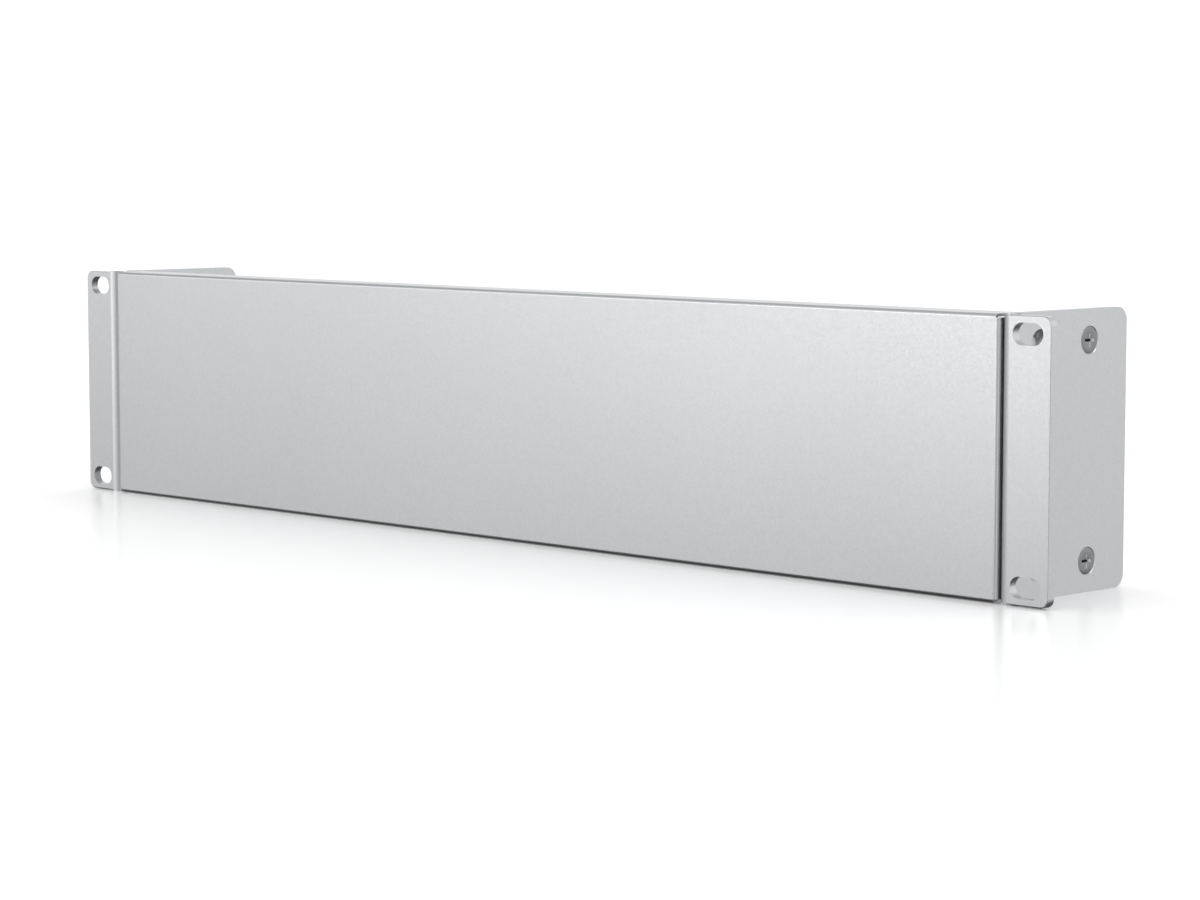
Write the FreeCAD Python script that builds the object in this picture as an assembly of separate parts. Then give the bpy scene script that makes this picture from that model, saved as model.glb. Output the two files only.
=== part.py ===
import FreeCAD, Part
import math
import os

# Two-unit blank panel for a 19-inch rack: a folded steel pan held between two folded ears.
# X runs across the rack, +Y runs back into it and +Z is up. The origin is the centre of the
# four rack slots, on the plane where the ears meet the rack rails. Lengths are millimetres.

# Rack standard: outside width, and slots placed from the flange's outer edge and the pan's ends
overall_width = 482.6
slot_side_margin = 8.75
slot_end_margin = 5.7
slot_length = 11.5
slot_height = 6.8

# Pan: one sheet with a face, a lip along its top and bottom, and a return at each end
pan_side_margin = 19.7
pan_height = 87.6
pan_sheet = 1.0
pan_inside_radius = 0.2
lip_depth = 12.0
return_setback = 3.0
return_shoulder = 1.5
return_shoulder_radius = 2.0
return_edge_margin = 2.4
return_corner_radius = 4.0

# Ears: one thicker sheet each, folded into a rack flange and a side plate
ear_sheet = 3.0
ear_inside_radius = 1.0
ear_depth = 60.0
foot_step = 0.2
flange_step = 0.4
flange_corner_radius = 3.0
flange_edge_radius = 0.4
plate_corner_radius = 4.5
relief_width = 3.0
relief_depth = 1.5

# Fixing pattern of each side plate: a front and a rear row of two countersunk holes
front_row_depth = 16.5
row_step = 24.5
hole_end_margin = 9.55

# Countersunk screws with a cross recess, in the rear rows. A plain shank stands for each thread,
# at the mean of the thread's crests and roots.
thread_diameter = 3.7
screw_length = 6.0
screw_hole_clearance = 0.6
head_diameter = 8.0
head_rim = 0.25
head_angle = 90.0
head_sink = 0.15
head_seat_gap = 0.04
tip_chamfer = 0.5
recess_span = 4.4
recess_slot = 0.85
recess_depth = 1.8
recess_slope = 0.45
recess_core = 2.0

# Tapped collars that take the screws, drawn inwards from the sheet of the returns
collar_root_diameter = 6.0
collar_tip_diameter = 5.2
collar_height = 1.2
collar_lead_in = 0.3
thread_clearance = 0.15

# Places worked out from the sizes above
front_y = -ear_sheet
half_width = overall_width / 2
pan_half_width = half_width - pan_side_margin
pan_half_height = pan_height / 2
pan_outside_radius = pan_inside_radius + pan_sheet
slot_x = half_width - slot_side_margin
slot_z = pan_half_height - slot_end_margin
hole_z = pan_half_height - hole_end_margin
return_back_y = front_y + ear_depth - return_setback
return_half_height = hole_z + collar_root_diameter / 2 + return_edge_margin
return_shoulder_y = front_y + lip_depth + return_shoulder

ear_inner_x = pan_half_width
ear_outer_x = ear_inner_x + ear_sheet
ear_outside_radius = ear_inside_radius + ear_sheet
ear_half_height = pan_half_height + foot_step
flange_half_height = ear_half_height - flange_step
flange_root_x = ear_inner_x + ear_outside_radius
bend_back_y = front_y + ear_outside_radius
plate_back_y = front_y + ear_depth

front_row_y = front_y + front_row_depth
rear_row_y = front_row_y + row_step

thread_radius = thread_diameter / 2
head_radius = head_diameter / 2
head_slope = math.tan(math.radians(head_angle / 2))
head_top_x = ear_outer_x - head_sink
head_height = head_rim + (head_radius - thread_radius) / head_slope
countersink_radius = head_radius + (head_sink + head_rim) * head_slope + head_seat_gap
screw_hole_radius = thread_radius + screw_hole_clearance / 2
tapped_radius = (thread_diameter + thread_clearance) / 2
return_inner_x = pan_half_width - pan_sheet

LEVELS = {"upper": hole_z, "lower": -hole_z}
X_AXIS = FreeCAD.Vector(1, 0, 0)
Y_AXIS = FreeCAD.Vector(0, 1, 0)
Z_AXIS = FreeCAD.Vector(0, 0, 1)
CLOSE = 0.001


def point(x, y, z=0.0):
    """A place from its three lengths."""
    return FreeCAD.Vector(x, y, z)


def line(start, end):
    """A straight edge."""
    return Part.LineSegment(start, end).toShape()


def quarter_arc(start, corner, end, radius):
    """The quarter circle from start to end that rounds the corner."""
    centre = start + end - corner
    middle = centre + (corner - centre).normalize() * radius
    return Part.Arc(start, middle, end).toShape()


def box_between(low, high):
    """A box from its lowest to its highest corner."""
    size = high - low
    return Part.makeBox(size.x, size.y, size.z, low)


def one_solid(shape):
    """The single solid of a fused or cut shape, with its split faces merged."""
    return shape.removeSplitter().Solids[0]


def mirrored(shape, normal):
    """The shape's mirror image across the plane through the origin."""
    return shape.mirror(point(0, 0), normal)


def round_edges(solid, radius, direction, wanted):
    """Round the straight edges that run along the direction and whose middle is wanted."""
    chosen = []
    for edge in solid.Edges:
        if not isinstance(edge.Curve, Part.Line):
            continue
        along = edge.Curve.Direction
        if abs(along.dot(direction)) > 1 - CLOSE and wanted(edge.CenterOfMass):
            chosen.append(edge)
    return solid.makeFillet(radius, chosen)


def folded_section(run_out, run_up, sheet, inside_radius):
    """The section of a sheet bent once through a right angle, as a face in the XY plane.

    The first leg runs along +X from the origin with its outer face on y = 0. The second runs
    along +Y with its outer face on x = run_out, and ends at y = run_up.
    """
    outside_radius = inside_radius + sheet
    outer_start = point(run_out - outside_radius, 0)
    outer_end = point(run_out, outside_radius)
    inner_start = point(run_out - sheet, outside_radius)
    inner_end = point(run_out - outside_radius, sheet)
    edges = [
        line(point(0, 0), outer_start),
        quarter_arc(outer_start, point(run_out, 0), outer_end, outside_radius),
        line(outer_end, point(run_out, run_up)),
        line(point(run_out, run_up), point(run_out - sheet, run_up)),
        line(point(run_out - sheet, run_up), inner_start),
        quarter_arc(inner_start, point(run_out - sheet, sheet), inner_end, inside_radius),
        line(inner_end, point(0, sheet)),
        line(point(0, sheet), point(0, 0)),
    ]
    return Part.Face(Part.Wire(edges))


def extrude_evenly(section, length):
    """The section extruded along Z by half the length each way."""
    section.translate(point(0, 0, -length / 2))
    return section.extrude(Z_AXIS * length)


def drill(radius, x_from, x_to, y, z):
    """A round bar along X at one place of the fixing pattern."""
    return Part.makeCylinder(radius, x_to - x_from, point(x_from, y, z), X_AXIS)


def tapped_collar(y, z):
    """The collar of one screw: the metal drawn inwards, and the cutter of its hole with a lead-in."""
    tip = point(return_inner_x - collar_height, y, z)
    root_radius = collar_root_diameter / 2
    collar = Part.makeCone(collar_tip_diameter / 2, root_radius, collar_height, tip, X_AXIS)
    mouth = point(pan_half_width - collar_lead_in, y, z)
    lead_in = Part.makeCone(
        tapped_radius, tapped_radius + collar_lead_in, collar_lead_in, mouth, X_AXIS
    )
    return collar, lead_in.fuse(drill(tapped_radius, tip.x - pan_sheet, pan_half_width, y, z))


def end_return():
    """The pan's right half in plan: half the face, the fold and the return with its collars."""
    section = folded_section(pan_half_width, return_back_y - front_y, pan_sheet, pan_inside_radius)
    fold = extrude_evenly(section, 2 * (pan_half_height - pan_outside_radius))
    fold.translate(point(0, front_y))

    past = pan_outside_radius
    low = point(return_inner_x - past, return_shoulder_y, return_half_height)
    high = point(pan_half_width + past, return_back_y + past, pan_half_height + past)
    above = round_edges(
        box_between(low, high), return_shoulder_radius, X_AXIS,
        lambda middle: middle.y < low.y + CLOSE and middle.z < low.z + CLOSE,
    )
    fold = fold.cut(above).cut(mirrored(above, Z_AXIS))
    fold = round_edges(
        fold, return_corner_radius, X_AXIS, lambda middle: middle.y > return_back_y - CLOSE
    )
    for z in LEVELS.values():
        collar, hole = tapped_collar(rear_row_y, z)
        fold = fold.fuse(collar).cut(hole)
    return fold


def top_lip():
    """The pan's upper half from the side: half the face, the fold and the top lip."""
    section = folded_section(pan_half_height, lip_depth, pan_sheet, pan_inside_radius)
    fold = extrude_evenly(section, 2 * (pan_half_width - pan_outside_radius))
    fold.rotate(point(0, 0), Y_AXIS, -90)
    fold.translate(point(0, front_y))
    return fold


def fascia_pan():
    """The pan, folded from one sheet, with its corners open where two folds meet."""
    right, top = end_return(), top_lip()
    return one_solid(right.fuse([mirrored(right, X_AXIS), top, mirrored(top, Z_AXIS)]))


def rack_slot(x, z):
    """The cutter of one oblong rack slot, through the flange."""
    low = point(x - slot_length / 2, front_y - ear_sheet, z - slot_height / 2)
    high = point(x + slot_length / 2, ear_sheet, z + slot_height / 2)
    radius = slot_height / 2 - CLOSE
    return round_edges(box_between(low, high), radius, Y_AXIS, lambda middle: True)


def countersunk_hole(y, z):
    """The cutter of one countersunk hole, through the right side plate."""
    cone_height = countersink_radius / head_slope
    tip = point(ear_outer_x - cone_height, y, z)
    cone = Part.makeCone(0, countersink_radius, cone_height, tip, X_AXIS)
    return cone.fuse(drill(screw_hole_radius, ear_inner_x - ear_sheet, ear_outer_x, y, z))


def flange_edge_wanted(edge):
    """Whether an edge lies on the flange's front outline, outside the bend."""
    box = edge.BoundBox
    in_front = box.YMax < front_y + CLOSE
    return in_front and box.XMin > flange_root_x - CLOSE and box.XMax > flange_root_x + CLOSE


def right_ear():
    """The right ear: flange, bend and side plate folded from one sheet."""
    section = folded_section(half_width - ear_inner_x, ear_depth, ear_sheet, ear_inside_radius)
    ear = mirrored(extrude_evenly(section, 2 * ear_half_height), X_AXIS)
    ear.translate(point(half_width, front_y))

    trim_low = point(flange_root_x, front_y - ear_sheet, flange_half_height)
    trim_high = point(half_width + ear_sheet, ear_sheet, ear_half_height + ear_sheet)
    relief_low = point(ear_inner_x - ear_sheet, bend_back_y, ear_half_height - relief_depth)
    relief_high = point(ear_outer_x + ear_sheet, bend_back_y + relief_width, ear_half_height + relief_depth)
    for low, high in ((trim_low, trim_high), (relief_low, relief_high)):
        cutter = box_between(low, high)
        ear = ear.cut(cutter).cut(mirrored(cutter, Z_AXIS))
    ear = one_solid(ear)

    ear = round_edges(ear, flange_corner_radius, Y_AXIS, lambda middle: middle.x > half_width - CLOSE)
    ear = round_edges(ear, plate_corner_radius, X_AXIS, lambda middle: middle.y > plate_back_y - CLOSE)
    ear = ear.makeFillet(flange_edge_radius, [edge for edge in ear.Edges if flange_edge_wanted(edge)])

    for z in (slot_z, -slot_z):
        ear = ear.cut(rack_slot(slot_x, z))
    for y in (front_row_y, rear_row_y):
        for z in LEVELS.values():
            ear = ear.cut(countersunk_hole(y, z))
    return one_solid(ear)


def recess_arm():
    """One bar of the cross recess: a slot across the screw's axis that narrows as it deepens."""
    half_span = recess_span / 2
    half_floor = half_span - recess_depth * recess_slope
    outline = Part.makePolygon([
        point(recess_depth, -half_span),
        point(recess_depth, half_span),
        point(0, half_floor),
        point(0, -half_floor),
        point(recess_depth, -half_span),
    ])
    arm = Part.Face(outline).extrude(Z_AXIS * recess_slot)
    arm.translate(point(-recess_depth, 0, -recess_slot / 2))
    return arm


def right_screw(z):
    """A right screw at its height: rim, cone, shank with a chamfered tip, and the recess."""
    tip_x = -screw_length
    head_foot_x = -head_height
    outline = [
        point(0, 0),
        point(0, head_radius),
        point(-head_rim, head_radius),
        point(head_foot_x, thread_radius),
        point(tip_x + tip_chamfer, thread_radius),
        point(tip_x, thread_radius - tip_chamfer),
        point(tip_x, 0),
        point(0, 0),
    ]
    screw = Part.Face(Part.makePolygon(outline)).revolve(point(0, 0), X_AXIS, 360)
    arm = recess_arm()
    crossing = recess_arm()
    crossing.rotate(point(0, 0), X_AXIS, 90)
    core = Part.makeCone(0, recess_core / 2, recess_depth, point(-recess_depth, 0), X_AXIS)
    screw = screw.cut(arm.fuse([crossing, core]))
    screw.translate(point(head_top_x, rear_row_y, z))
    return one_solid(screw)


def all_pieces():
    """Every piece by its name, in place; the left pieces are mirror images of the right."""
    right = {"ear": right_ear()}
    for level, z in LEVELS.items():
        right[level + "_screw"] = right_screw(z)
    pieces = {"fascia_pan": fascia_pan()}
    for name, solid in right.items():
        pieces["right_" + name] = solid
        pieces["left_" + name] = mirrored(solid, X_AXIS)
    return pieces


if __name__ == "__main__":
    os.makedirs("parts", exist_ok=True)
    for name, solid in all_pieces().items():
        solid.exportStep(os.path.join("parts", name + ".step"))
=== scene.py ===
"""Looks of a two-unit rack blanking panel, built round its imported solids.

A shallow pan folded from thin sheet is held by four countersunk screws between two ears folded
from thicker sheet. All sheet carries one satin silver coat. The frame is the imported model's: X
across the rack, +Y back into it and +Z up, in metres, with the rack slots' centre at the origin.
"""

import logging
import math
from dataclasses import dataclass
from enum import Enum, auto

import bmesh
import bpy
from mathutils import Matrix, Vector


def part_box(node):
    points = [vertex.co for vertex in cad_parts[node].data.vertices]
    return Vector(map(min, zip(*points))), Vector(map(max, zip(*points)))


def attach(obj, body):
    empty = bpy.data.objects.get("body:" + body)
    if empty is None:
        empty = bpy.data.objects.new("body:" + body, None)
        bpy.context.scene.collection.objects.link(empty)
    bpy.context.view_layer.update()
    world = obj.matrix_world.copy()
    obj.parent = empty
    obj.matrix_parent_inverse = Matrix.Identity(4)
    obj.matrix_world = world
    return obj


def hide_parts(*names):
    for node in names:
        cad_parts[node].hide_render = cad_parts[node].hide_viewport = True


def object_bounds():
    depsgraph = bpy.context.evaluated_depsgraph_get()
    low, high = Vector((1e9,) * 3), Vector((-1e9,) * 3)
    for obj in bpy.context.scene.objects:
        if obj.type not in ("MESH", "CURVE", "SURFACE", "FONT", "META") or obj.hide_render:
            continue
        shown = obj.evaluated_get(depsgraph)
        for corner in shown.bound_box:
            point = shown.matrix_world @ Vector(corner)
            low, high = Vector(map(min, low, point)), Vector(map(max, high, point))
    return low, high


LOG = logging.getLogger("blanking_panel")
BODY = "root"
MM = 0.001
# Turns a place in metres into millimetres, along each axis.
IN_MM = (1 / MM, 1 / MM, 1 / MM)
# Vertices that are closer than this, in metres, are in one place.
SAME_PLACE = 1e-7
# Edges that turn by less than this, in degrees, are shaded as one smooth face.
SMOOTH_ANGLE = 35.0
# A mix node's colour sockets go by number, because all its types share the same names.
MIX_A, MIX_B, MIX_RESULT = 6, 7, 2
# A wave texture draws about this many rings to a unit at a scale of one.
RINGS_PER_UNIT = 3

Colour = tuple[float, float, float, float]
Profile = tuple[tuple[float, float], ...]

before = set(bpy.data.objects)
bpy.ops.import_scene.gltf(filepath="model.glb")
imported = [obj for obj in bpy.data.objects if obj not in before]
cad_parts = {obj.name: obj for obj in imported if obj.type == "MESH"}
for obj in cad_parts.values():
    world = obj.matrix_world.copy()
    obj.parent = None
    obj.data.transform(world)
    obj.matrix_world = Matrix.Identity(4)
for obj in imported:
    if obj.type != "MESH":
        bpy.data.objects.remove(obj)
CAD_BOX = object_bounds()


class Side(Enum):
    """An end of the panel, by the sign of X that points outwards from it."""

    LEFT = -1
    RIGHT = 1


class Level(Enum):
    """The row of a fixing."""

    UPPER = auto()
    LOWER = auto()


def linear(colour: str) -> Colour:
    """Turn an sRGB hex colour into linear light.

    Args:
        colour: Six hex digits after a hash.

    Returns:
        Red, green, blue and an alpha of one.
    """
    shares = [int(colour[n : n + 2], 16) / 255 for n in (1, 3, 5)]
    light = [s / 12.92 if s <= 0.04045 else ((s + 0.055) / 1.055) ** 2.4 for s in shares]
    return (*light, 1.0)


def grey(light: float) -> Colour:
    """Give the grey of that much linear light."""
    return (light, light, light, 1.0)


def add_node(
    tree: bpy.types.NodeTree, kind: str, inputs: dict | None = None, **settings: object
) -> bpy.types.Node:
    """Add a node with its settings, values and links.

    Args:
        tree: The tree that gets the node.
        kind: The node's type name.
        inputs: For each input's name or number, its value or the output that feeds it.
        **settings: Attributes of the node itself.

    Returns:
        The new node.
    """
    node = tree.nodes.new(kind)
    for name, value in settings.items():
        setattr(node, name, value)
    for key, value in (inputs or {}).items():
        if isinstance(value, bpy.types.NodeSocket):
            tree.links.new(value, node.inputs[key])
        else:
            node.inputs[key].default_value = value
    return node


def set_stops(ramp: bpy.types.Node, stops: list[tuple[float, Colour]]) -> None:
    """Give a colour ramp its stops.

    Args:
        ramp: The ramp's node, as it was added.
        stops: For each stop, in order, its place from 0 to 1 and its linear colour.
    """
    elements = ramp.color_ramp.elements
    # Each new stop starts halfway, and is put in its place below.
    while len(elements) < len(stops):
        elements.new(0.5)
    for element, (place, colour) in zip(elements, stops):
        element.position = place
        element.color = colour


def blank_material(name: str) -> tuple[bpy.types.Material, bpy.types.NodeTree]:
    """Make a material with an empty node tree.

    Args:
        name: The material's name.

    Returns:
        The material and its tree.
    """
    material = bpy.data.materials.new(name)
    material.use_nodes = True
    material.node_tree.nodes.clear()
    return material, material.node_tree


def finished(
    bm: bmesh.types.BMesh, name: str, finish: bpy.types.Material, node: str
) -> bpy.types.Object:
    """Turn a modelled mesh into a piece of the panel.

    Args:
        bm: The mesh, in place. It is freed.
        name: The piece's name.
        finish: Its material.
        node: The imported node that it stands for.

    Returns:
        The piece.
    """
    bmesh.ops.remove_doubles(bm, verts=bm.verts[:], dist=SAME_PLACE)
    bmesh.ops.recalc_face_normals(bm, faces=bm.faces[:])
    for face in bm.faces:
        face.smooth = True
    most_turn = math.radians(SMOOTH_ANGLE)
    for edge in bm.edges:
        edge.smooth = len(edge.link_faces) == 2 and edge.calc_face_angle() < most_turn
    mesh = bpy.data.meshes.new(name)
    bm.to_mesh(mesh)
    bm.free()
    mesh.materials.append(finish)
    piece = bpy.data.objects.new(name, mesh)
    bpy.context.scene.collection.objects.link(piece)
    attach(piece, BODY)
    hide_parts(node)
    return piece


@dataclass(frozen=True)
class SatinCoat:
    """Silver metallic stoving enamel sprayed over folded steel sheet.

    The aluminium flake in it gives a soft metal sheen with no mirror image, the spray leaves a
    faint orange peel, and flake that lies a little unevenly clouds the tone over a hand's width.
    Widths and heights are in millimetres.
    """

    colour: str = "#CED0D2"
    cloud_colour: str = "#C9CBCD"
    roughness: float = 0.33
    cloud_width: float = 70.0
    cloud_detail: float = 2.0
    cloud_roughness: float = 0.4
    # Real flake is some 0.05 mm across, too fine to show, so its grain is drawn coarser.
    flake_width: float = 0.6
    flake_spread: float = 0.03
    peel_width: float = 1.8
    peel_detail: float = 1.0
    peel_height: float = 0.003

    def build(self) -> bpy.types.Material:
        """Make the material."""
        material, tree = blank_material("satin silver enamel, sprayed")
        metres = add_node(tree, "ShaderNodeTexCoord").outputs["Object"]
        place = add_node(
            tree, "ShaderNodeMapping", {"Vector": metres, "Scale": IN_MM}
        ).outputs["Vector"]
        cloud = add_node(
            tree,
            "ShaderNodeTexNoise",
            {
                "Vector": place,
                "Scale": 1 / self.cloud_width,
                "Detail": self.cloud_detail,
                "Roughness": self.cloud_roughness,
            },
        )
        flake = add_node(
            tree, "ShaderNodeTexVoronoi", {"Vector": place, "Scale": 1 / self.flake_width}
        )
        grain = add_node(tree, "ShaderNodeSeparateColor", {"Color": flake.outputs["Color"]})
        tone = add_node(
            tree,
            "ShaderNodeMix",
            {
                "Factor": cloud.outputs["Fac"],
                MIX_A: linear(self.cloud_colour),
                MIX_B: linear(self.colour),
            },
            data_type="RGBA",
        )
        lift = add_node(
            tree,
            "ShaderNodeMapRange",
            {
                "Value": grain.outputs["Red"],
                "To Min": 1 - self.flake_spread,
                "To Max": 1 + self.flake_spread,
            },
        )
        paint = add_node(
            tree,
            "ShaderNodeVectorMath",
            {0: tone.outputs[MIX_RESULT], "Scale": lift.outputs["Result"]},
            operation="SCALE",
        )
        gloss = add_node(
            tree,
            "ShaderNodeMapRange",
            {
                "Value": grain.outputs["Green"],
                "To Min": self.roughness - self.flake_spread,
                "To Max": self.roughness + self.flake_spread,
            },
        )
        peel = add_node(
            tree,
            "ShaderNodeTexNoise",
            {"Vector": place, "Scale": 1 / self.peel_width, "Detail": self.peel_detail},
        )
        bump = add_node(
            tree,
            "ShaderNodeBump",
            {"Distance": self.peel_height * MM, "Height": peel.outputs["Fac"]},
        )
        shader = add_node(
            tree,
            "ShaderNodeBsdfPrincipled",
            {
                "Base Color": paint.outputs["Vector"],
                "Metallic": 1.0,
                "Roughness": gloss.outputs["Result"],
                "Normal": bump.outputs["Normal"],
            },
        )
        add_node(tree, "ShaderNodeOutputMaterial", {"Surface": shader.outputs["BSDF"]})
        return material


@dataclass(frozen=True)
class PlatedSteel:
    """Cold-headed steel screw, plated with zinc.

    The forming leaves faint rings on the head's face, whose zinc is rubbed to a dull grey. Under
    the face the colour is painted by depth: a painted highlight in the mouth of the recess and on
    the rim, and painted shade deeper in the recess. Lengths are in millimetres.
    """

    colour: str = "#979899"
    stain_colour: str = "#838485"
    # Each pair is a depth under the face and its colour, as painted highlight or painted shade.
    painted_light_by_depth: tuple[tuple[float, str], ...] = (
        (0.05, "#E2E3E4"),
        (0.65, "#D2D3D4"),
        (1.0, "#3C3C3D"),
        (2.1, "#3C3C3D"),
        (2.4, "#B4B5B6"),
    )
    full_depth: float = 2.5
    face_depth: float = 0.03
    roughness: float = 0.3
    roughness_spread: float = 0.06
    stain_width: float = 2.5
    stain_detail: float = 3.0
    # Forming rings are some 0.1 mm apart, too fine to show, so they are drawn wider.
    ring_pitch: float = 0.4
    ring_height: float = 0.01
    ring_waver: float = 0.4
    ring_strength: float = 0.5

    def build(self, axis_place: Vector) -> bpy.types.Material:
        """Make the material.

        Args:
            axis_place: The middle of the upper right screw's face. The other faces are its
                mirror images, so one pattern serves all four.

        Returns:
            The material.
        """
        material, tree = blank_material("grey plated steel, cold headed")
        place = add_node(tree, "ShaderNodeTexCoord").outputs["Object"]
        one_corner = add_node(tree, "ShaderNodeVectorMath", {0: place}, operation="ABSOLUTE")
        from_axis = add_node(
            tree,
            "ShaderNodeVectorMath",
            {0: one_corner.outputs["Vector"], 1: axis_place},
            operation="SUBTRACT",
        )
        near = add_node(
            tree,
            "ShaderNodeMapping",
            {"Vector": from_axis.outputs["Vector"], "Scale": IN_MM},
        ).outputs["Vector"]
        rings = add_node(
            tree,
            "ShaderNodeTexWave",
            {
                "Vector": near,
                "Scale": 1 / (self.ring_pitch * RINGS_PER_UNIT),
                "Distortion": self.ring_waver,
            },
            wave_type="RINGS",
            rings_direction="X",
        )
        stain = add_node(
            tree,
            "ShaderNodeTexNoise",
            {"Vector": near, "Scale": 1 / self.stain_width, "Detail": self.stain_detail},
        )
        face = add_node(
            tree,
            "ShaderNodeMix",
            {
                "Factor": stain.outputs["Fac"],
                MIX_A: linear(self.stain_colour),
                MIX_B: linear(self.colour),
            },
            data_type="RGBA",
        )
        height = add_node(tree, "ShaderNodeSeparateXYZ", {"Vector": near}).outputs["X"]
        depth = add_node(
            tree, "ShaderNodeMapRange", {"Value": height, "From Max": -self.full_depth}
        )
        # Painted light and shade by depth: a painted highlight in the recess's mouth, painted
        # shade deeper.
        painted_light_ramp = add_node(tree, "ShaderNodeValToRGB", {"Fac": depth.outputs["Result"]})
        set_stops(
            painted_light_ramp, [(down / self.full_depth, linear(tint)) for down, tint in self.painted_light_by_depth]
        )
        below = add_node(
            tree, "ShaderNodeMapRange", {"Value": height, "From Max": -self.face_depth}
        )
        tone = add_node(
            tree,
            "ShaderNodeMix",
            {
                "Factor": below.outputs["Result"],
                MIX_A: face.outputs[MIX_RESULT],
                MIX_B: painted_light_ramp.outputs["Color"],
            },
            data_type="RGBA",
        )
        gloss = add_node(
            tree,
            "ShaderNodeMapRange",
            {
                "Value": stain.outputs["Fac"],
                "To Min": self.roughness - self.roughness_spread,
                "To Max": self.roughness + self.roughness_spread,
            },
        )
        bump = add_node(
            tree,
            "ShaderNodeBump",
            {
                "Strength": self.ring_strength,
                "Distance": self.ring_height * MM,
                "Height": rings.outputs["Fac"],
            },
        )
        shader = add_node(
            tree,
            "ShaderNodeBsdfPrincipled",
            {
                "Base Color": tone.outputs[MIX_RESULT],
                "Metallic": 1.0,
                "Roughness": gloss.outputs["Result"],
                "Normal": bump.outputs["Normal"],
            },
        )
        add_node(tree, "ShaderNodeOutputMaterial", {"Surface": shader.outputs["BSDF"]})
        return material


@dataclass(frozen=True)
class StudioPaint:
    """Matt white floor with a faint sheen that gives a blurred image of what stands on it."""

    colour: str = "#F4F4F4"
    sheen_share: float = 0.32
    sheen_roughness: float = 0.2

    def build(self) -> bpy.types.Material:
        """Make the material."""
        material, tree = blank_material("matt white floor paint")
        matt = add_node(tree, "ShaderNodeBsdfDiffuse", {"Color": linear(self.colour)})
        sheen = add_node(
            tree,
            "ShaderNodeBsdfGlossy",
            {"Color": linear(self.colour), "Roughness": self.sheen_roughness},
        )
        mixed = add_node(
            tree,
            "ShaderNodeMixShader",
            {0: self.sheen_share, 1: matt.outputs["BSDF"], 2: sheen.outputs["BSDF"]},
        )
        add_node(tree, "ShaderNodeOutputMaterial", {"Surface": mixed.outputs["Shader"]})
        return material


@dataclass
class FoldedSheet:
    """A sheet-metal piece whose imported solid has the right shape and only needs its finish.

    Lengths are in millimetres and angles in degrees.
    """

    node: str
    edge_break: float = 0.12
    edge_angle: float = 40.0
    edge_steps: int = 2
    weld_reach: float = 0.002

    def dress(self, coat: bpy.types.Material) -> bpy.types.Object:
        """Break the sheet's sharp edges as the coat does, and give it the coat.

        Args:
            coat: The finish.

        Returns:
            The dressed node.
        """
        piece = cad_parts[self.node]
        if not piece.material_slots:
            piece.data.materials.append(coat)
        for slot in piece.material_slots:
            slot.material = coat
        weld = piece.modifiers.new("weld", "WELD")
        weld.merge_threshold = self.weld_reach * MM
        bevel = piece.modifiers.new("edge break", "BEVEL")
        bevel.width = self.edge_break * MM
        bevel.segments = self.edge_steps
        bevel.limit_method = "ANGLE"
        bevel.angle_limit = math.radians(self.edge_angle)
        bevel.use_clamp_overlap = True
        normals = piece.modifiers.new("flat faces", "WEIGHTED_NORMAL")
        normals.keep_sharp = True
        return piece


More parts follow.
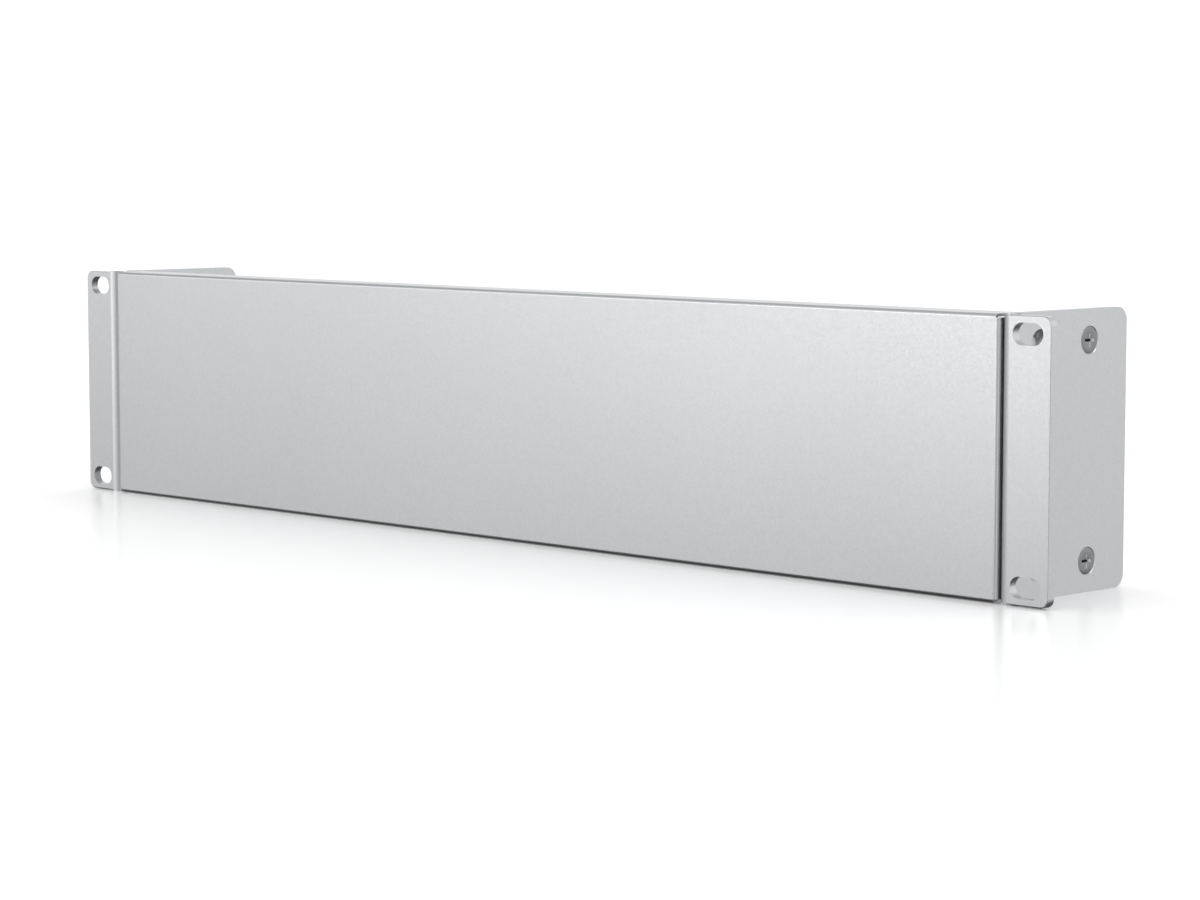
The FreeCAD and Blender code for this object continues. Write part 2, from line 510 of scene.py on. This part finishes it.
@dataclass
class CountersunkScrew:
    """A countersunk machine screw with a cross recess, modelled about +Z and then turned.

    Lengths are in millimetres and angles in degrees. The thread's shares are of its pitch.
    """

    side: Side
    level: Level
    head_diameter: float = 8.25
    rim_round: float = 0.06
    # Halfway round its quarter circle, the rim is this share of its radius in from both sides.
    rim_half_share: float = 0.3
    rim_height: float = 0.12
    recess_span: float = 4.4
    recess_slot: float = 0.95
    recess_depth: float = 1.3
    recess_floor_share: float = 0.66
    pit_depth: float = 0.8
    pit_share: float = 0.4
    recess_edge: float = 0.05
    recess_edge_angle: float = 40.0
    recess_edge_steps: int = 2
    crest_diameter: float = 3.8
    root_diameter: float = 3.1
    pitch: float = 0.7
    flank_share: float = 0.38
    crest_share: float = 0.12
    tip_chamfer: float = 0.5
    rim_steps: int = 96
    thread_steps: int = 48

    @property
    def node(self) -> str:
        """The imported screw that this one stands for."""
        return f"{self.side.name}_{self.level.name}_screw".lower()

    def sink_recess(self, bm: bmesh.types.BMesh) -> None:
        """Sink the cross into the flat top of the head.

        Args:
            bm: Holds the top disc alone, on z = 0.
        """
        half_slot, half_span = self.recess_slot / 2 * MM, self.recess_span / 2 * MM
        for axis in (Vector((1, 0, 0)), Vector((0, 1, 0))):
            for reach in (-half_span, -half_slot, half_slot, half_span):
                everything = bm.verts[:] + bm.edges[:] + bm.faces[:]
                bmesh.ops.bisect_plane(
                    bm, geom=everything, dist=SAME_PLACE, plane_co=axis * reach, plane_no=axis
                )

        def in_cross(face: bmesh.types.BMFace) -> bool:
            """Whether the face lies in one of the cross's arms."""
            near, far = sorted(abs(c) for c in face.calc_center_median()[:2])
            return near < half_slot and far < half_span

        cross = [face for face in bm.faces if in_cross(face)]
        floor = self.sink(bm, cross, self.recess_depth, self.recess_floor_share)
        middle = [f for f in floor if f.calc_center_median().xy.length < half_slot / 2]
        self.sink(bm, middle, self.pit_depth, self.pit_share)
        lip = [
            edge
            for edge in bm.edges
            if len(edge.link_faces) == 2
            and edge.calc_face_angle() > math.radians(self.recess_edge_angle)
            and all(abs(vert.co.z) < SAME_PLACE for vert in edge.verts)
        ]
        bmesh.ops.bevel(
            bm,
            geom=lip,
            offset=self.recess_edge * MM,
            affect="EDGES",
            segments=self.recess_edge_steps,
            profile=0.5,
            material=-1,
        )

    def sink(
        self, bm: bmesh.types.BMesh, faces: list[bmesh.types.BMFace], depth: float, share: float
    ) -> list[bmesh.types.BMFace]:
        """Extrude faces down the axis and shrink them towards it.

        Args:
            bm: The screw so far.
            faces: The faces to sink.
            depth: How far down, in millimetres.
            share: The floor's size as a share of the mouth's.

        Returns:
            The faces of the floor.
        """
        grown = bmesh.ops.extrude_face_region(bm, geom=faces)["geom"]
        bmesh.ops.delete(bm, geom=faces, context="FACES")
        verts = [g for g in grown if isinstance(g, bmesh.types.BMVert)]
        bmesh.ops.scale(bm, vec=(share, share, 1), verts=verts)
        bmesh.ops.translate(bm, vec=(0, 0, -depth * MM), verts=verts)
        return [g for g in grown if isinstance(g, bmesh.types.BMFace)]

    def extend_skirt(self, bm: bmesh.types.BMesh, share: float, drop: float) -> None:
        """Extrude the open outline of the head down by one step.

        Args:
            bm: The screw so far.
            share: The new outline's radius as a share of the last one's.
            drop: How far down, in millimetres.
        """
        outline = [edge for edge in bm.edges if edge.is_boundary]
        grown = bmesh.ops.extrude_edge_only(bm, edges=outline)["geom"]
        verts = [g for g in grown if isinstance(g, bmesh.types.BMVert)]
        bmesh.ops.scale(bm, vec=(share, share, 1), verts=verts)
        bmesh.ops.translate(bm, vec=(0, 0, -drop * MM), verts=verts)

    def cut_thread(self, bm: bmesh.types.BMesh, top: float, tip: float) -> None:
        """Wind the thread from under the head to the chamfered tip, and join it to the head.

        Args:
            bm: The screw so far.
            top: The height of the thread's start, in millimetres.
            tip: The height of the screw's end, in millimetres.
        """
        crest, root = self.crest_diameter / 2, self.root_diameter / 2
        crest_end = self.flank_share + self.crest_share
        tooth = (
            (root, 0.0),
            (crest, self.flank_share),
            (crest, crest_end),
            (root, crest_end + self.flank_share),
        )
        # One turn above the start and one below the tip are spare, and are trimmed off.
        turns = math.ceil((top - tip) / self.pitch) + 2
        places = [
            Vector((radius, 0, top + (1 - turn - share) * self.pitch)) * MM
            for turn in range(turns)
            for radius, share in tooth
        ]
        head = set(bm.verts)
        profile = [bm.verts.new(place) for place in places]
        line = [bm.edges.new(pair) for pair in zip(profile, profile[1:])]
        bmesh.ops.spin(
            bm,
            geom=profile + line,
            cent=(0, 0, 0),
            axis=(0, 0, 1),
            dvec=(0, 0, -self.pitch / self.thread_steps * MM),
            angle=2 * math.pi,
            steps=self.thread_steps,
            use_merge=False,
        )
        thread = [vert for vert in bm.verts if vert not in head]
        bmesh.ops.remove_doubles(bm, verts=thread, dist=SAME_PLACE)
        self.trim_thread(bm, head, top, tip)
        middle = (top + tip) / 2 * MM
        end = [edge for edge in bm.edges if edge.is_boundary and edge.verts[0].co.z < middle]
        bmesh.ops.holes_fill(bm, edges=end, sides=0)
        bmesh.ops.bridge_loops(bm, edges=[edge for edge in bm.edges if edge.is_boundary])

    def trim_thread(
        self, bm: bmesh.types.BMesh, head: set[bmesh.types.BMVert], top: float, tip: float
    ) -> None:
        """Cut the thread off at both ends and chamfer its tip.

        Args:
            bm: The screw so far.
            head: The head's vertices, which are left alone.
            top: The height of the thread's start, in millimetres.
            tip: The height of the screw's end, in millimetres.
        """
        chamfer_start = tip + self.tip_chamfer
        for height, cut_above, cut_below in (
            (top, True, False),
            (tip, False, True),
            (chamfer_start, False, False),
        ):
            geom = [vert for vert in bm.verts if vert not in head]
            geom += [edge for edge in bm.edges if edge.verts[0] not in head]
            geom += [face for face in bm.faces if face.verts[0] not in head]
            bmesh.ops.bisect_plane(
                bm,
                geom=geom,
                dist=SAME_PLACE,
                plane_co=(0, 0, height * MM),
                plane_no=(0, 0, 1),
                clear_outer=cut_above,
                clear_inner=cut_below,
            )
        for vert in [vert for vert in bm.verts if vert not in head]:
            most = self.crest_diameter / 2 * MM - max(0.0, chamfer_start * MM - vert.co.z)
            radius = vert.co.xy.length
            if radius > most:
                bmesh.ops.scale(bm, vec=(most / radius, most / radius, 1), verts=[vert])

    def build(self, steel: bpy.types.Material) -> bpy.types.Object:
        """Model the screw in its place.

        Args:
            steel: The finish.

        Returns:
            The screw.
        """
        low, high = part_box(self.node)
        length = (high.x - low.x) / MM
        top_x = high.x if self.side is Side.RIGHT else low.x
        radius, root = self.head_diameter / 2, self.root_diameter / 2
        bm = bmesh.new()
        bmesh.ops.create_circle(
            bm, cap_ends=True, segments=self.rim_steps, radius=(radius - self.rim_round) * MM
        )
        self.sink_recess(bm)
        neck = self.rim_height + radius - root
        halfway = self.rim_half_share * self.rim_round
        outlines = (
            (radius - self.rim_round, 0.0),
            (radius - halfway, halfway),
            (radius, self.rim_round),
            (radius, self.rim_height),
            (root, neck),
        )
        for (last, above), (new, below) in zip(outlines, outlines[1:]):
            self.extend_skirt(bm, new / last, below - above)
        self.cut_thread(bm, -neck, -length)
        bmesh.ops.rotate(
            bm, cent=(0, 0, 0), matrix=Matrix.Rotation(math.pi / 2, 3, "Y"), verts=bm.verts[:]
        )
        bmesh.ops.scale(bm, vec=(self.side.value, 1, 1), verts=bm.verts[:])
        centre = (low + high) / 2
        bmesh.ops.translate(bm, vec=(top_x, centre.y, centre.z), verts=bm.verts[:])
        return finished(bm, self.node + "_threaded", steel, self.node)


@dataclass
class Softbox:
    """A rectangular studio light that the metal mirrors, placed by its bearing.

    Angles are in degrees, the azimuth from the front towards +X, and lengths are in metres.
    """

    name: str
    azimuth: float
    elevation: float
    distance: float
    width: float
    height: float
    watts: float

    def place(self) -> bpy.types.Object:
        """Put the light in the scene, aimed at the panel's centre."""
        light = bpy.data.lights.new(self.name, "AREA")
        light.shape = "RECTANGLE"
        light.size, light.size_y, light.energy = self.width, self.height, self.watts
        lamp = bpy.data.objects.new(self.name, light)
        across, up = math.radians(self.azimuth), math.radians(self.elevation)
        bearing = Vector(
            (math.sin(across) * math.cos(up), -math.cos(across) * math.cos(up), math.sin(up))
        )
        lamp.location = bearing * self.distance
        lamp.rotation_euler = bearing.to_track_quat("Z", "Y").to_euler()
        lamp.visible_camera = False
        lamp.visible_diffuse = False
        bpy.context.scene.collection.objects.link(lamp)
        return lamp


@dataclass
class Studio:
    """The pale floor, the soft light, and the camera at the photograph's viewing angle.

    The panel mirrors a white room that darkens below the horizon, as in the photograph, where no
    bright floor shows in its folds. Each wall's profile is a list of pairs: the sine of the
    elevation, and the brightness there. Places are in metres, angles in degrees, and the lens and
    its sensor in millimetres.
    """

    floor_half_width: float = 8.0
    camera_place: tuple[float, float, float] = (0.8238, -0.7646, 0.09465)
    camera_yaw: float = 45.396
    camera_pitch: float = 5.444
    focal_length: float = 96.67
    sensor_width: float = 36.0
    room_light: float = 1.38
    dim_wall: Profile = (
        (-1.0, 0.8),
        (-0.9, 0.03),
        (-0.35, 0.2),
        (-0.15, 0.76),
        (-0.05, 0.28),
        (0.03, 0.48),
        (0.12, 0.8),
        (0.3, 0.22),
        (0.6, 0.02),
        (0.88, 0.05),
        (1.0, 1.0),
    )
    bright_wall: Profile = (
        (-1.0, 0.8),
        (-0.9, 0.02),
        (-0.15, 0.02),
        (-0.05, 2.42),
        (0.03, 4.4),
        (0.12, 3.5),
        (0.3, 1.6),
        (0.6, 1.3),
        (0.88, 0.6),
        (1.0, 1.0),
    )
    back_wall: Profile = (
        (-1.0, 0.8),
        (-0.9, 0.1),
        (-0.55, 0.1),
        (-0.35, 0.3),
        (-0.15, 0.93),
        (0.03, 1.0),
        (0.3, 1.02),
        (0.5, 1.15),
        (0.75, 0.4),
        (0.88, 0.4),
        (1.0, 1.0),
    )
    side_wall: Profile = (
        (-1.0, 0.75),
        (-0.35, 0.72),
        (-0.15, 0.82),
        (0.0, 0.96),
        (0.12, 1.12),
        (0.3, 1.2),
        (1.0, 1.0),
    )
    most_glow: float = 4.5
    # How much of a wall there is, by a bearing's share along X, or along Y for the back wall.
    bright_share: Profile = (
        (-0.97, 0.0),
        (-0.75, 0.31),
        (-0.6, 0.84),
        (-0.5, 0.68),
        (-0.35, 0.42),
        (0.0, 0.42),
        (0.25, 0.03),
    )
    back_share: Profile = ((-0.2, 0.0), (0.4, 1.0))
    side_share: Profile = ((0.58, 0.0), (0.82, 1.0))

    def lay_floor(self) -> bpy.types.Object:
        """Lay the floor under the panel's lowest point."""
        bm = bmesh.new()
        bmesh.ops.create_grid(bm, x_segments=1, y_segments=1, size=self.floor_half_width)
        bmesh.ops.translate(bm, vec=(0, 0, CAD_BOX[0].z), verts=bm.verts[:])
        mesh = bpy.data.meshes.new("floor")
        bm.to_mesh(mesh)
        bm.free()
        mesh.materials.append(StudioPaint().build())
        floor = bpy.data.objects.new("floor", mesh)
        floor.visible_glossy = False
        bpy.context.scene.collection.objects.link(floor)
        return floor

    def light(self) -> None:
        """Surround the panel with the white room, and add the light on its edges."""
        world = bpy.data.worlds.new("white room")
        bpy.context.scene.world = world
        world.use_nodes = True
        tree = world.node_tree
        tree.nodes.clear()
        bearing = add_node(tree, "ShaderNodeTexCoord").outputs["Generated"]
        parts = add_node(tree, "ShaderNodeSeparateXYZ", {"Vector": bearing}).outputs
        ramps = []
        for axis, profile, most in (
            ("Z", self.dim_wall, self.most_glow),
            ("Z", self.bright_wall, self.most_glow),
            ("X", self.bright_share, 1.0),
            ("Z", self.back_wall, self.most_glow),
            ("Y", self.back_share, 1.0),
            ("Z", self.side_wall, self.most_glow),
            ("X", self.side_share, 1.0),
        ):
            place = add_node(
                tree, "ShaderNodeMapRange", {"Value": parts[axis], "From Min": -1.0}
            )
            ramp = add_node(tree, "ShaderNodeValToRGB", {"Fac": place.outputs["Result"]})
            set_stops(ramp, [((at + 1) / 2, grey(level / most)) for at, level in profile])
            ramps.append(ramp.outputs["Color"])
        walls, *others = ramps
        for wall, share in zip(others[::2], others[1::2]):
            walls = add_node(
                tree,
                "ShaderNodeMix",
                {"Factor": share, MIX_A: walls, MIX_B: wall},
                data_type="RGBA",
            ).outputs[MIX_RESULT]
        path = add_node(tree, "ShaderNodeLightPath")
        seen = add_node(
            tree,
            "ShaderNodeMix",
            {
                "Factor": path.outputs["Is Glossy Ray"],
                MIX_A: grey(self.room_light / self.most_glow),
                MIX_B: walls,
            },
            data_type="RGBA",
        )
        glow = add_node(
            tree,
            "ShaderNodeBackground",
            {"Color": seen.outputs[MIX_RESULT], "Strength": self.most_glow},
        )
        add_node(tree, "ShaderNodeOutputWorld", {"Surface": glow.outputs["Background"]})
        Softbox(
            name="edge light",
            azimuth=95,
            elevation=52,
            distance=1.5,
            width=0.8,
            height=0.8,
            watts=3.6,
        ).place()

    def set_camera(self) -> bpy.types.Object:
        """Set the camera where the photograph was taken from."""
        data = bpy.data.cameras.new("camera")
        data.sensor_width = self.sensor_width
        data.lens = self.focal_length
        camera = bpy.data.objects.new("camera", data)
        yaw, pitch = math.radians(self.camera_yaw), math.radians(self.camera_pitch)
        ahead = Vector(
            (-math.sin(yaw) * math.cos(pitch), math.cos(yaw) * math.cos(pitch), -math.sin(pitch))
        )
        camera.location = self.camera_place
        camera.rotation_euler = ahead.to_track_quat("-Z", "Y").to_euler()
        bpy.context.scene.collection.objects.link(camera)
        bpy.context.scene.camera = camera
        return camera


def main() -> None:
    """Dress the panel and set up the studio."""
    logging.basicConfig(level=logging.INFO, format="%(name)s: %(message)s")
    bpy.context.scene.view_settings.view_transform = "Standard"
    studio = Studio()
    studio.set_camera()
    coat = SatinCoat().build()
    for node in ("fascia_pan", "left_ear", "right_ear"):
        piece = FoldedSheet(node).dress(coat)
        LOG.info("%s: folded sheet in satin silver enamel", piece.name)
    low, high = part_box("right_upper_screw")
    steel = PlatedSteel().build(Vector((high.x, *((low + high) / 2).yz)))
    for side in Side:
        for level in Level:
            piece = CountersunkScrew(side, level).build(steel)
            LOG.info("%s: %d faces", piece.name, len(piece.data.polygons))
    studio.lay_floor()
    studio.light()


if __name__ == "__main__":
    main()
